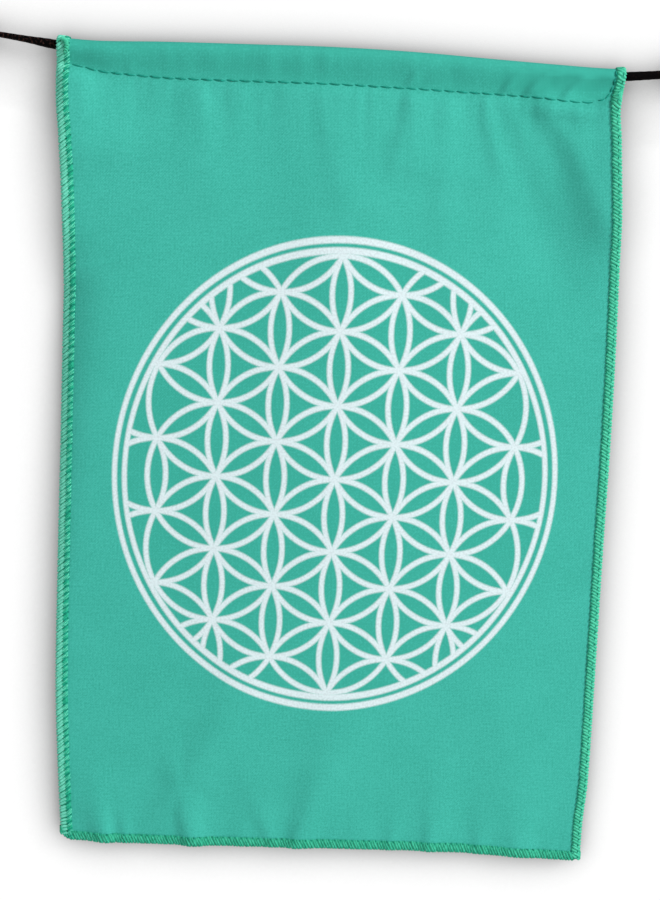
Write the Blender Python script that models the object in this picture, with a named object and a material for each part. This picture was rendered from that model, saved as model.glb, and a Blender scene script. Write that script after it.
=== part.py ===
"""Prayer flag on its cord: one serged cloth flag with a stitched casing along its top, threaded on a
stretch of braided cord that is held taut from both ends.

The frame has X to the right as the printed front is seen, Y away from the viewer and Z up. The origin
is on the cord's centre line above the middle of the flag. The sizes below are in millimetres.
"""
import math

import bmesh
import bpy
from mathutils import Vector

MM = 0.001

# The cord, its knots and the room round them
CORD_DIAMETER = 2.5
CORD_POINT_SPACING = 2.5 * CORD_DIAMETER
CLEARANCE = 0.35
KNOT_TURNS = 3
KNOT_CORE_RADIUS = CORD_DIAMETER
KNOT_TAIL = 5.0
KNOT_SIDES = 14

# The flag's layers
CLOTH_THICKNESS = 1.0
SERGING_THICKNESS = 1.2
SERGING_ROUNDING = 0.4
LAYER_SPACING = SERGING_THICKNESS + CLEARANCE
WRAP_RADIUS = CORD_DIAMETER / 2 + CLEARANCE + SERGING_THICKNESS / 2 + 0.05
FLAP_LENGTH = 4.0
SERGING_LEFT = 3.7
SERGING_RIGHT = 2.6
SERGING_BOTTOM = 3.2
CORNER_CUT = 3.0

# How finely the cloth is divided
COLUMNS = 48
PANEL_STEPS = 25
RISE_STEPS = 4
WRAP_STEPS = 8
FLAP_STEPS = 2
SEAM_FADE = 8.0
FLAG_FOOT = -252.0

# Route of the cord's centre line: x, z. It sags under the flag, which hangs a little lower on the right.
CORD_ROUTE = (
    (-100.5, 6.4), (-95.5, 5.55), (-90.0, 4.6), (-83.5, 3.4), (-78.0, 2.5), (-68.0, 1.75), (-50.0, 1.5),
    (-25.0, 0.8), (0.0, 0.0), (25.0, -1.5), (50.0, -3.7), (70.0, -5.4), (84.0, -6.4), (92.0, -6.15),
    (97.0, -5.9), (101.0, -5.65),
)
# Casing seam: x, z. It curls up at both ends, where the casing was sewn narrower.
SEAM_LINE = (
    (-82.0, -2.6), (-76.0, -3.0), (-68.0, -4.8), (-60.0, -5.7), (-45.0, -6.9), (0.0, -8.5), (38.0, -10.7),
    (62.0, -12.4), (78.0, -14.0), (82.5, -13.2), (89.0, -10.8),
)
# Outline of the flag with its serging: z, x of the two sides and x, z of the foot
LEFT_EDGE = (
    (-250.0, -87.0), (-200.0, -87.2), (-160.0, -85.6), (-120.0, -83.7), (-85.0, -82.2), (-60.0, -81.2),
    (-25.0, -81.3), (-12.0, -81.9), (6.0, -81.2),
)
RIGHT_EDGE = (
    (-257.0, 80.8), (-242.0, 81.4), (-228.0, 82.7), (-188.0, 84.1), (-149.0, 85.4), (-110.0, 86.9),
    (-60.0, 87.9), (-25.0, 87.1), (-14.5, 86.6), (-8.0, 88.2), (6.0, 88.3),
)
FOOT_EDGE = (
    (-88.0, -248.0), (-61.0, -249.4), (-3.0, -250.9), (36.0, -252.2), (60.0, -254.0), (75.0, -255.2),
    (84.0, -255.5),
)
# Main folds, each a soft ridge that opens out along its crest: crest x, z from its tight end on; half-widths
# to the left and right at its open end; height at both ends. A positive height stands towards the viewer.
FOLDS = (
    (((64.6, -13.0), (67.5, -15.5), (71.3, -19.5), (77.5, -28.0), (82.8, -46.0)), (11.5, 70.0), (1.4, 3.4)),
    (((50.0, -16.0), (60.0, -42.0), (70.0, -66.0)), (13.0, 7.0), (-0.3, -0.4)),
    (((23.3, -9.5), (23.0, -19.5), (20.8, -31.0)), (3.6, 28.0), (0.9, 0.8)),
    (((46.0, -12.0), (47.8, -20.5), (51.5, -31.5)), (3.6, 24.0), (0.9, 0.9)),
    (((-39.0, -10.0), (-37.0, -40.0)), (12.0, 9.0), (0.7, 0.4)),
    (((-79.0, -4.0), (-79.0, -26.0)), (5.0, 20.0), (2.4, 2.0)),
    (((-90.0, -175.0), (-89.0, -72.0)), (12.0, 12.0), (-1.0, -5.8)),
    (((-72.5, -246.0), (-76.0, -228.0)), (10.0, 6.0), (1.4, 0.5)),
    (((-45.0, -247.0), (-48.0, -230.0), (-36.0, -214.0), (-30.0, -196.0)), (9.0, 14.0), (1.5, 0.7)),
    (((-10.3, -248.0), (-5.0, -231.0), (1.5, -211.0)), (8.0, 12.0), (1.3, 0.6)),
    (((31.9, -248.5), (34.5, -224.0)), (6.0, 9.0), (0.8, 0.3)),
    (((60.0, -250.0), (60.0, -214.0)), (14.0, 16.0), (0.8, 0.6)),
    (((4.0, -60.0), (0.0, -200.0)), (60.0, 60.0), (1.2, 1.2)),
)
# Share of a fold's half-widths left at its tight end
FOLD_START = 0.35
# How far a fold fades beyond its ends, as a share of its smaller half-width
FOLD_FADE = 1.3
# How far the middle of the panel bows towards the viewer
BELLY = 2.6

# Base colours, linear
CLOTH_COLOUR = (0.056, 0.456, 0.366)
SERGING_COLOUR = (0.033, 0.381, 0.238)
CORD_COLOUR = (0.009, 0.006, 0.006)


def clear_scene():
    for item in list(bpy.data.objects):
        bpy.data.objects.remove(item, do_unlink=True)


def fabric(name, colour, roughness):
    material = bpy.data.materials.new(name)
    material.use_nodes = True
    shader = material.node_tree.nodes["Principled BSDF"]
    shader.inputs["Base Color"].default_value = (*colour, 1.0)
    shader.inputs["Roughness"].default_value = roughness
    shader.inputs["Metallic"].default_value = 0.0
    return material


def smooth_step(share):
    share = min(max(share, 0.0), 1.0)
    return share * share * (3.0 - 2.0 * share)


def value_at(rows, at):
    """Reads a smooth curve through rows of (place, value), in rising order of place."""
    last = len(rows) - 2
    spot = next((i for i in range(last + 1) if at <= rows[i + 1][0]), last)
    before, start, end, after = (rows[min(max(spot + k, 0), last + 1)] for k in (-1, 0, 1, 2))
    span = end[0] - start[0]
    share = min(max((at - start[0]) / span, 0.0), 1.0)
    slope_in = (end[1] - before[1]) / (end[0] - before[0]) * span
    slope_out = (after[1] - start[1]) / (after[0] - start[0]) * span
    square, cube = share * share, share ** 3
    return (
        (2 * cube - 3 * square + 1) * start[1]
        + (cube - 2 * square + share) * slope_in
        + (3 * square - 2 * cube) * end[1]
        + (cube - square) * slope_out
    )


def fold_height(x, z):
    """How far the folds lift the cloth towards the viewer at a place on the panel."""
    lift = 0.0
    for crest, widths, heights in FOLDS:
        spans = []
        for number, ((x0, z0), (x1, z1)) in enumerate(zip(crest, crest[1:])):
            run_x, run_z, from_x, from_z = x1 - x0, z1 - z0, x - x0, z - z0
            length = math.hypot(run_x, run_z)
            share = (from_x * run_x + from_z * run_z) / length ** 2
            beyond = (share - min(max(share, 0.0), 1.0)) * length
            across = (from_x * run_z - from_z * run_x) / length
            share = min(max(share, 0.0), 1.0)
            opened = (number + share) / (len(crest) - 1)
            width = widths[0 if across * run_z < 0 else 1] * (FOLD_START + (1 - FOLD_START) * opened)
            spans.append(((across / width) ** 2 + (beyond / (FOLD_FADE * min(widths))) ** 2, opened))
        off, opened = min(spans)
        lift += (heights[0] + (heights[1] - heights[0]) * opened) * math.exp(-off)
    return lift


def column_x(column, z):
    """A column is a share of the flag's width and an inset from there, both kept from top to foot."""
    share, inset = column
    return (1 - share) * value_at(LEFT_EDGE, z) + share * value_at(RIGHT_EDGE, z) + inset


def placed(column, y, z, seam_z):
    x = column_x(column, z)
    down = min(max((seam_z - z) / (seam_z - FLAG_FOOT), 0.0), 1.0)
    lift = BELLY * math.sin(math.pi * down ** 0.8)
    lift += fold_height(x, z) * smooth_step((seam_z - z) / SEAM_FADE)
    return Vector((x, y - lift, z))


def rib(column, foot):
    """Mid-surface of one upright line of the flag: up the front, over the cord and down the back."""
    top_x = column_x(column, 0.0)
    cord_z = value_at(CORD_ROUTE, top_x)
    seam_z = value_at(SEAM_LINE, top_x)
    foot_z = value_at(FOOT_EDGE, column_x(column, FLAG_FOOT)) + foot
    near = LAYER_SPACING / 2
    flap_z = seam_z - FLAP_LENGTH
    line = [(-near, foot_z + (flap_z - foot_z) * step / PANEL_STEPS) for step in range(PANEL_STEPS)]
    line += [(-near, flap_z + FLAP_LENGTH * step / FLAP_STEPS) for step in range(FLAP_STEPS)]
    rise = []
    for step in range(RISE_STEPS):
        share = step / RISE_STEPS
        spread = near + (WRAP_RADIUS - near) * smooth_step(share)
        rise.append((-spread, seam_z + (cord_z - seam_z) * share))
    line += rise
    for step in range(WRAP_STEPS + 1):
        turn = math.pi * step / WRAP_STEPS
        line.append((-WRAP_RADIUS * math.cos(turn), cord_z + WRAP_RADIUS * math.sin(turn)))
    line += [(-y, z) for y, z in reversed(rise)]
    line += [(near, seam_z - FLAP_LENGTH * step / FLAP_STEPS) for step in range(1, FLAP_STEPS + 1)]
    return [placed(column, y, z, seam_z) for y, z in line]


def foot_rib(column):
    """The short upright line that the serging along the foot takes below the cloth."""
    top_x = column_x(column, 0.0)
    foot_z = value_at(FOOT_EDGE, column_x(column, FLAG_FOOT))
    seam_z = value_at(SEAM_LINE, top_x)
    return [placed(column, -LAYER_SPACING / 2, foot_z + rise, seam_z) for rise in (0.0, SERGING_BOTTOM)]


def sheet(name, ribs, thickness, rounding, material):
    """A closed sheet of one thickness whose mid-surface runs through the ribs."""
    mesh = bpy.data.meshes.new(name)
    shape = bmesh.new()
    across, along = len(ribs) - 1, len(ribs[0]) - 1
    bmesh.ops.create_grid(shape, x_segments=across, y_segments=along, size=1.0)
    for corner in shape.verts:
        rib_number = round((corner.co.x + 1) / 2 * across)
        step = round((corner.co.y + 1) / 2 * along)
        corner.co = ribs[rib_number][step] * MM
    shape.to_mesh(mesh)
    shape.free()
    mesh.materials.append(material)
    mesh.shade_smooth()
    piece = bpy.data.objects.new(name, mesh)
    bpy.context.scene.collection.objects.link(piece)
    wall = piece.modifiers.new("thickness", "SOLIDIFY")
    wall.thickness = thickness * MM
    wall.offset = 0.0
    wall.use_even_offset = True
    if rounding:
        edge = piece.modifiers.new("rounded sides", "BEVEL")
        edge.width = rounding * MM
        edge.segments = 1
        edge.limit_method = "ANGLE"
        edge.angle_limit = math.radians(60)
    return piece


def add_flag(cloth, thread):
    low, high = SERGING_LEFT + CLEARANCE, -(SERGING_RIGHT + CLEARANCE)
    columns = [(i / COLUMNS, low + (high - low) * i / COLUMNS) for i in range(COLUMNS + 1)]
    ribs = [rib(column, SERGING_BOTTOM + CLEARANCE) for column in columns]
    sheet("flag_cloth", ribs, CLOTH_THICKNESS, 0.0, cloth)
    left = [rib((0.0, 0.0), CORNER_CUT), rib((0.0, SERGING_LEFT), 0.0)]
    right = [rib((1.0, -SERGING_RIGHT), 0.0), rib((1.0, 0.0), 0.0)]
    foot = [foot_rib(column) for column in columns]
    for side, lines in (("left", left), ("right", right), ("bottom", foot)):
        sheet(f"serged_edge_{side}", lines, SERGING_THICKNESS, SERGING_ROUNDING, thread)


def cord_points():
    """Points along the route, evenly spaced in x, from the left knot to the right one."""
    start, end = CORD_ROUTE[0][0], CORD_ROUTE[-1][0]
    count = round((end - start) / CORD_POINT_SPACING)
    places = [start + (end - start) * i / count for i in range(count + 1)]
    return [Vector((x, 0.0, value_at(CORD_ROUTE, x))) for x in places]


def add_cord(material):
    points = cord_points()
    curve = bpy.data.curves.new("cord", "CURVE")
    curve.dimensions = "3D"
    curve.bevel_depth = CORD_DIAMETER / 2 * MM
    curve.bevel_resolution = 2
    curve.use_fill_caps = True
    spline = curve.splines.new("POLY")
    spline.points.add(len(points) - 1)
    for target, point in zip(spline.points, points):
        target.co = (*(point * MM), 1.0)
    curve.materials.append(material)
    bpy.context.scene.collection.objects.link(bpy.data.objects.new("cord", curve))


def knot_profile():
    """Half outline of a stopper knot along X, from its flat inner face to the end of its tail."""
    strand = CORD_DIAMETER / 2
    outline = [(0.0, 0.0), (0.0, KNOT_CORE_RADIUS)]
    for turn in range(KNOT_TURNS):
        middle = strand + turn * CORD_DIAMETER
        for angle in (-50, 0, 50):
            bend = math.radians(angle)
            outline.append((middle + strand * math.sin(bend), KNOT_CORE_RADIUS + strand * math.cos(bend)))
    body_end = KNOT_TURNS * CORD_DIAMETER
    outline += [(body_end, strand + 0.4), (body_end + 0.8, strand)]
    outline += [(body_end + KNOT_TAIL, strand), (body_end + KNOT_TAIL, 0.0)]
    return outline


def add_knot(name, seat, outward, material):
    """One stopper knot, turned about its axis and set a hair off the cord's end."""
    shape = bmesh.new()
    corners = [shape.verts.new((x * MM, 0.0, radius * MM)) for x, radius in knot_profile()]
    edges = [shape.edges.new(pair) for pair in zip(corners, corners[1:])]
    bmesh.ops.spin(
        shape, geom=corners + edges, axis=(1.0, 0.0, 0.0), cent=(0.0, 0.0, 0.0),
        angle=2 * math.pi, steps=KNOT_SIDES, use_merge=True,
    )
    bmesh.ops.remove_doubles(shape, verts=shape.verts, dist=0.01 * MM)
    bmesh.ops.recalc_face_normals(shape, faces=shape.faces)
    mesh = bpy.data.meshes.new(name)
    shape.to_mesh(mesh)
    shape.free()
    mesh.materials.append(material)
    mesh.shade_smooth()
    mesh.set_sharp_from_angle(angle=math.radians(60))
    knot = bpy.data.objects.new(name, mesh)
    knot.location = (seat + outward * CLEARANCE) * MM
    knot.rotation_mode = "QUATERNION"
    knot.rotation_quaternion = Vector((1.0, 0.0, 0.0)).rotation_difference(outward)
    bpy.context.scene.collection.objects.link(knot)


def add_knots(material):
    points = cord_points()
    add_knot("knot_left", points[0], (points[0] - points[1]).normalized(), material)
    add_knot("knot_right", points[-1], (points[-1] - points[-2]).normalized(), material)


clear_scene()
flag_fabric = fabric("flag cloth", CLOTH_COLOUR, 0.85)
thread_fabric = fabric("serging thread", SERGING_COLOUR, 0.7)
cord_fabric = fabric("braided cord", CORD_COLOUR, 0.6)
add_flag(flag_fabric, thread_fabric)
add_cord(cord_fabric)
add_knots(cord_fabric)
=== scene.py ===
"""Prayer flag on its cord: the looks of its cloth, print, sewing and braided cord.

Lengths are in metres. X runs to the right as the printed front is seen, Y away from the viewer and Z up.
The origin is on the cord's centre line above the middle of the flag.
"""
import bisect
import functools
import math
import random

import bmesh
import bpy
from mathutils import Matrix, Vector, noise


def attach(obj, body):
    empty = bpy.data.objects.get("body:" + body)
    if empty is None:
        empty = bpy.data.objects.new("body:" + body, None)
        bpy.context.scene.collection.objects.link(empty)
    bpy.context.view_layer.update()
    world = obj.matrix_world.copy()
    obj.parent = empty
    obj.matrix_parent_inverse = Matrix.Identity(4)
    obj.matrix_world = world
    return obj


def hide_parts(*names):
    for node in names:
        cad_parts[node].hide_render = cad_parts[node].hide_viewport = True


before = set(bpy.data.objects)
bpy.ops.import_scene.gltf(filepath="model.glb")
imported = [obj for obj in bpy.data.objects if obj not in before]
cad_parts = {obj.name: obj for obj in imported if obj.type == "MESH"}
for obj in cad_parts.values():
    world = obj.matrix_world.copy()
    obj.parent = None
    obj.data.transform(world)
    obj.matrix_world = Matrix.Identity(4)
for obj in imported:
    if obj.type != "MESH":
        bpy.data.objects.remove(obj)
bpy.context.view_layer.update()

# Studio: a white wall just behind the flag, above a plain pale floor. The wall glows white though it is no
# lamp, and a soft outline of shade round the flag is painted into its glow as painted shade; only a faint
# part of that outline is shade really cast on the wall's own paint.
# The wall shows only from its front and hides nothing, so the flag's back can be seen and is lit.
PICTURE_MIDDLE = Vector((0.0, 0.0, -0.120))
CAMERA_DISTANCE = 0.600
CAMERA_LIFT = math.radians(11.25)
CAMERA_LENS = 77.4
WALL_Y = 0.0046
FLOOR_Z = -0.300
STUDIO_SIZE = 3.0
# WALL_GLOW is the wall's glow; the SHADE values paint shade into it, darker where less open sky reaches a
# point near the flag
WALL_GLOW, WALL_PAINT = 0.95, 0.06
SHADE_REACH, SHADE_STEEPNESS = 0.021, 2.0
SHADE_LEAN = (0.20, -0.96, 0.20)
SKY_STRENGTH = 0.46
KEY_PLACE, KEY_POWER, KEY_SIZE = Vector((1.90, -1.34, 1.22)), 79.0, 0.80


class Socket:
    """A node's output. Python's operators on it add the Math nodes that do the same sum on the surface."""

    def __init__(self, socket):
        self.socket = socket

    def node(self, kind, settings, inputs, output=0):
        made = self.socket.id_data.nodes.new(kind)
        for name, value in settings.items():
            setattr(made, name, value)
        for name, value in inputs.items():
            if isinstance(value, Socket):
                self.socket.id_data.links.new(value.socket, made.inputs[name])
            else:
                made.inputs[name].default_value = value
        return Socket(made.outputs[output])

    def sum(self, operation, *values):
        return self.node("ShaderNodeMath", {"operation": operation}, dict(enumerate(values)))

    def __add__(self, other):
        return self.sum("ADD", self, other)

    def __sub__(self, other):
        return self.sum("SUBTRACT", self, other)

    def __rsub__(self, other):
        return self.sum("SUBTRACT", other, self)

    def __mul__(self, other):
        return self.sum("MULTIPLY", self, other)

    def __truediv__(self, other):
        return self.sum("DIVIDE", self, other)

    def __gt__(self, other):
        return self.sum("GREATER_THAN", self, other)

    def __abs__(self):
        return self.sum("ABSOLUTE", self)

    __radd__ = __add__
    __rmul__ = __mul__

    def ramp(self, low, high):
        """Runs smoothly from 0 to 1 while this value runs from low to high."""
        ends = {"Value": self, "From Min": low, "From Max": high}
        return self.node("ShaderNodeMapRange", {"interpolation_type": "SMOOTHSTEP"}, ends)

    def colour_to(self, start, end):
        """Mixes two colours, with this value as the share of the second."""
        inputs = {"Factor": self, 6: start, 7: end}
        return self.node("ShaderNodeMix", {"data_type": "RGBA"}, inputs, output=2)


def finish(name, **constants):
    """A new material. Returns it with its Principled shader, whose unchanging values are set here."""
    material = bpy.data.materials.new(name)
    material.use_nodes = True
    shader = material.node_tree.nodes["Principled BSDF"]
    for socket, value in constants.items():
        shader.inputs[socket.replace("_", " ")].default_value = value
    return material, shader


def feed(shader, **links):
    for name, value in links.items():
        shader.id_data.links.new(value.socket, shader.inputs[name.replace("_", " ")])


def start_nodes(shader, kind, output, settings=None):
    """The first node of a material's network, such as its coordinates."""
    made = shader.id_data.nodes.new(kind)
    for name, value in (settings or {}).items():
        setattr(made, name, value)
    return Socket(made.outputs[output])


def plain_sheet(name, width, depth, material):
    shape = bmesh.new()
    bmesh.ops.create_grid(shape, x_segments=1, y_segments=1, size=0.5)
    bmesh.ops.scale(shape, vec=(width, depth, 1.0), verts=shape.verts)
    mesh = bpy.data.meshes.new(name)
    shape.to_mesh(mesh)
    shape.free()
    mesh.materials.append(material)
    sheet = bpy.data.objects.new(name, mesh)
    bpy.context.scene.collection.objects.link(sheet)
    return sheet


def soft_light(name, place, power, size):
    data = bpy.data.lights.new(name, "AREA")
    data.energy, data.size, data.shape = power, size, "DISK"
    lamp = bpy.data.objects.new(name, data)
    lamp.location = place
    lamp.rotation_euler = (PICTURE_MIDDLE - place).to_track_quat("-Z", "Y").to_euler()
    bpy.context.scene.collection.objects.link(lamp)


glowing_wall_finish, white_shader = finish(
    "white wall glow with painted shade", Base_Color=(WALL_PAINT, WALL_PAINT, WALL_PAINT, 1.0), Roughness=0.9,
    Emission_Strength=WALL_GLOW,
)
# Painted shade: the wall's glow is dimmed by the share of open sky round each point, which paints a soft
# dark outline round the flag
back_facing = start_nodes(white_shader, "ShaderNodeNewGeometry", "Backfacing")
lean = back_facing.node("ShaderNodeCombineXYZ", {}, dict(enumerate(SHADE_LEAN)))
painted_shade_sky_share = back_facing.node(
    "ShaderNodeAmbientOcclusion", {"samples": 24}, {"Distance": SHADE_REACH, "Normal": lean}, output=1
)
feed(white_shader, Emission_Color=painted_shade_sky_share.sum("POWER", painted_shade_sky_share, SHADE_STEEPNESS))
clear = white_shader.id_data.nodes.new("ShaderNodeBsdfTransparent")
faces = {0: back_facing, 1: Socket(white_shader.outputs[0]), 2: Socket(clear.outputs[0])}
front_only = back_facing.node("ShaderNodeMixShader", {}, faces)
white_shader.id_data.links.new(
    front_only.socket, white_shader.id_data.nodes["Material Output"].inputs["Surface"]
)
wall = plain_sheet("studio_wall", STUDIO_SIZE, STUDIO_SIZE, glowing_wall_finish)
wall.rotation_euler = (math.radians(90), 0.0, 0.0)
wall.location = (0.0, WALL_Y, FLOOR_Z + STUDIO_SIZE / 2)
for ray in ("diffuse", "glossy", "transmission", "shadow"):
    setattr(wall, f"visible_{ray}", False)
pale_floor, _ = finish("pale floor", Base_Color=(0.86, 0.86, 0.86, 1.0), Roughness=0.8)
floor = plain_sheet("studio_floor", STUDIO_SIZE, STUDIO_SIZE, pale_floor)
floor.location = (0.0, 0.0, FLOOR_Z)

world = bpy.data.worlds.new("soft studio")
world.use_nodes = True
world.node_tree.nodes["Background"].inputs["Color"].default_value = (1.0, 1.0, 1.0, 1.0)
world.node_tree.nodes["Background"].inputs["Strength"].default_value = SKY_STRENGTH
bpy.context.scene.world = world
bpy.context.scene.view_settings.view_transform = "Standard"
soft_light("key_light", KEY_PLACE, KEY_POWER, KEY_SIZE)

camera_data = bpy.data.cameras.new("camera")
camera_data.lens = CAMERA_LENS
camera_data.clip_start = 0.01
camera = bpy.data.objects.new("camera", camera_data)
away = Vector((0.0, -math.cos(CAMERA_LIFT), math.sin(CAMERA_LIFT)))
camera.location = PICTURE_MIDDLE + away * CAMERA_DISTANCE
camera.rotation_euler = away.to_track_quat("Z", "Y").to_euler()
bpy.context.scene.collection.objects.link(camera)
bpy.context.scene.camera = camera

# Cord: a near-black braid of sixteen strands, 2.5 mm thick, held taut so that it sags a little under the
# flag. It lies flatter where it turns on edge, left of the flag.
CORD_DIAMETER = 0.0025
CORD_ROUTE = (
    (-0.1005, 0.0064), (-0.0955, 0.00555), (-0.0900, 0.0046), (-0.0835, 0.0034), (-0.0780, 0.0025),
    (-0.0680, 0.00175), (-0.0500, 0.0015), (-0.0250, 0.0008), (0.0, 0.0), (0.0250, -0.0015),
    (0.0500, -0.0037), (0.0700, -0.0054), (0.0840, -0.0064), (0.0920, -0.00615), (0.0970, -0.0059),
    (0.1010, -0.00565),
)
# Half the cord's height as the viewer sees it: x, half-height
CORD_HALF_HEIGHT = (
    (-0.1010, 0.00084), (-0.0980, 0.00084), (-0.0900, 0.00102), (-0.0830, 0.00138), (-0.0600, 0.00128),
    (0.0600, 0.00126), (0.0880, 0.00134), (0.0960, 0.00126), (0.1010, 0.00124),
)
CORD_STEP = 0.00026
CORD_SIDES = 32
BRAID_STRANDS = 8
BRAID_PITCH = 0.0013
BRAID_DEPTH = 0.085


def value_at(rows, at):
    """Reads a smooth curve through rows of (place, value), in rising order of place."""
    last = len(rows) - 2
    spot = next((i for i in range(last + 1) if at <= rows[i + 1][0]), last)
    before, start, end, after = (rows[min(max(spot + k, 0), last + 1)] for k in (-1, 0, 1, 2))
    span = end[0] - start[0]
    share = min(max((at - start[0]) / span, 0.0), 1.0)
    slope_in = (end[1] - before[1]) / (end[0] - before[0]) * span
    slope_out = (after[1] - start[1]) / (after[0] - start[0]) * span
    square, cube = share * share, share ** 3
    return (
        (2 * cube - 3 * square + 1) * start[1]
        + (cube - 2 * square + share) * slope_in
        + (3 * square - 2 * cube) * end[1]
        + (cube - square) * slope_out
    )


def lengths_along(path):
    lengths = [0.0]
    for start, end in zip(path, path[1:]):
        lengths.append(lengths[-1] + (end - start).length)
    return lengths


def tube(name, path, half_sizes, sides, material, relief):
    """A closed tube round a path. half_sizes gives each ring's two half-widths: across Y, and upwards.

    relief(around, along) swells the tube. The map "around_along" holds the turn, from 0 to 1, and the
    length along the tube in metres.
    """
    lengths = lengths_along(path)
    shape = bmesh.new()
    rings = len(path) - 1
    bmesh.ops.create_grid(shape, x_segments=sides, y_segments=rings, size=0.5)
    layer = shape.loops.layers.uv.new("around_along")
    for face in shape.faces:
        for loop in face.loops:
            ring = round((loop.vert.co.y + 0.5) * rings)
            loop[layer].uv = (loop.vert.co.x + 0.5, lengths[ring])
    side, sides_at = Vector((0.0, 1.0, 0.0)), []
    for i, point in enumerate(path):
        tangent = (path[min(i + 1, rings)] - path[max(i - 1, 0)]).normalized()
        side = (side - side.dot(tangent) * tangent).normalized()
        sides_at.append((side, tangent.cross(side)))
    for corner in shape.verts:
        around, ring = corner.co.x + 0.5, round((corner.co.y + 0.5) * rings)
        turn = 2 * math.pi * around
        swell = 1.0 + relief(around, lengths[ring])
        across, up = half_sizes[ring]
        corner.co = path[ring] + swell * (
            across * math.cos(turn) * sides_at[ring][0] + up * math.sin(turn) * sides_at[ring][1]
        )
    bmesh.ops.remove_doubles(shape, verts=shape.verts, dist=1e-7)
    bmesh.ops.holes_fill(shape, edges=shape.edges, sides=0)
    bmesh.ops.recalc_face_normals(shape, faces=shape.faces)
    mesh = bpy.data.meshes.new(name)
    shape.to_mesh(mesh)
    shape.free()
    mesh.materials.append(material)
    mesh.shade_smooth()
    piece = bpy.data.objects.new(name, mesh)
    bpy.context.scene.collection.objects.link(piece)
    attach(piece, "root")
    return piece


def braid(around, along):
    """Two sets of strands wind opposite ways and take turns on top."""
    right_hand = BRAID_STRANDS * around + along / BRAID_PITCH / 2
    left_hand = BRAID_STRANDS * around - along / BRAID_PITCH / 2
    on_top = right_hand if (math.floor(right_hand) + math.floor(left_hand)) % 2 else left_hand
    return BRAID_DEPTH * (abs(math.sin(math.pi * on_top)) - 0.7)


cord_finish, cord_shader = finish("black braid", Roughness=0.7, Specular_IOR_Level=0.04)
cord_uv = start_nodes(cord_shader, "ShaderNodeUVMap", "UV", {"uv_map": "around_along"})
fibre_noise = cord_uv.node(
    "ShaderNodeTexNoise", {}, {"Vector": cord_uv.node(
        "ShaderNodeVectorMath", {"operation": "MULTIPLY"}, {0: cord_uv, 1: (9.0, 1500.0, 1.0)}
    ), "Scale": 1.0, "Detail": 3.0}
)
place = start_nodes(cord_shader, "ShaderNodeTexCoord", "Object")
to_left = place.node("ShaderNodeSeparateXYZ", {}, {0: place}).ramp(-0.070, -0.092)
fleck = fibre_noise.ramp(0.52, 0.70) * (0.10 + 0.90 * to_left)
cord_colour = fleck.colour_to((0.0004, 0.0002, 0.0003, 1.0), (0.048, 0.020, 0.016, 1.0))
strand_bump = cord_uv.node(
    "ShaderNodeBump", {}, {"Strength": 0.6, "Distance": 0.00006, "Height": fibre_noise}
)
feed(cord_shader, Base_Color=cord_colour, Normal=strand_bump)


def cord_line(start, end):
    count = round((end - start) / CORD_STEP)
    places = [start + (end - start) * i / count for i in range(count + 1)]
    return [Vector((x, 0.0, value_at(CORD_ROUTE, x))) for x in places]


def cord_sizes(path):
    sizes = []
    for point in path:
        up = value_at(CORD_HALF_HEIGHT, point.x)
        sizes.append(((CORD_DIAMETER / 2) ** 2 / up, up))
    return sizes


cord_path = cord_line(CORD_ROUTE[0][0], CORD_ROUTE[-1][0])
cord = tube("braided_cord", cord_path, cord_sizes(cord_path), CORD_SIDES, cord_finish, braid)
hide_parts("cord")

# Stopper knots, of the cord itself: each end is wound three times round the cord and leaves a short tail.
# They sit just outside the picture, where the cord is held.
KNOT_GAP = 0.00035
KNOT_TURNS = 3
KNOT_WIND_RADIUS = 0.00245
KNOT_TAIL = 0.0050
KNOT_DROOP = 0.0048
KNOT_STRAND = 0.00122
CORE_POINTS = 60
TURN_POINTS = 28
KNOT_SIDES = 20


def knot_paths(seat, outward):
    """The straight strand with its tail, and the strand that is wound round it."""
    up = Vector((0.0, 0.0, 1.0))
    up = (up - up.dot(outward) * outward).normalized()
    side = outward.cross(up)
    body = KNOT_TURNS * CORD_DIAMETER
    core_length = body + KNOT_TAIL
    core = []
    for i in range(CORE_POINTS + 1):
        share = i / CORE_POINTS
        droop = KNOT_DROOP * max(0.0, share - body / core_length) ** 2
        core.append(seat + outward * (KNOT_GAP + share * (core_length - KNOT_GAP)) - up * droop)
    wound = []
    points = KNOT_TURNS * TURN_POINTS
    for i in range(points + 1):
        share = i / points
        turn = 2 * math.pi * KNOT_TURNS * share
        tucked = min(1.0, 6 * min(share, 1 - share) + 0.25)
        reach = KNOT_WIND_RADIUS * tucked
        along = KNOT_GAP + KNOT_STRAND + share * (body - 2 * KNOT_STRAND - KNOT_GAP)
        wound.append(seat + outward * along + reach * (math.cos(turn) * up + math.sin(turn) * side))
    return core, wound


def tapered(path, radius, tip):
    """Half-widths along a strand that narrows over its last few rings."""
    count = len(path)
    shares = [min(1.0, tip + (1 - tip) * (count - 1 - i) / 4) for i in range(count)]
    return [(radius * share, radius * share) for share in shares]


for end, seat, before in (("left", cord_path[0], cord_path[1]), ("right", cord_path[-1], cord_path[-2])):
    core_path, wound_path = knot_paths(seat, (seat - before).normalized())
    tail = tube(f"knot_{end}_tail", core_path, tapered(core_path, KNOT_STRAND, 0.55), KNOT_SIDES,
                cord_finish, braid)
    wraps = tube(f"knot_{end}_wraps", wound_path, tapered(wound_path, KNOT_STRAND, 0.9), KNOT_SIDES,
                 cord_finish, braid)
    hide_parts(f"knot_{end}")

lengths_along(cord_path)[-1]

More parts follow.
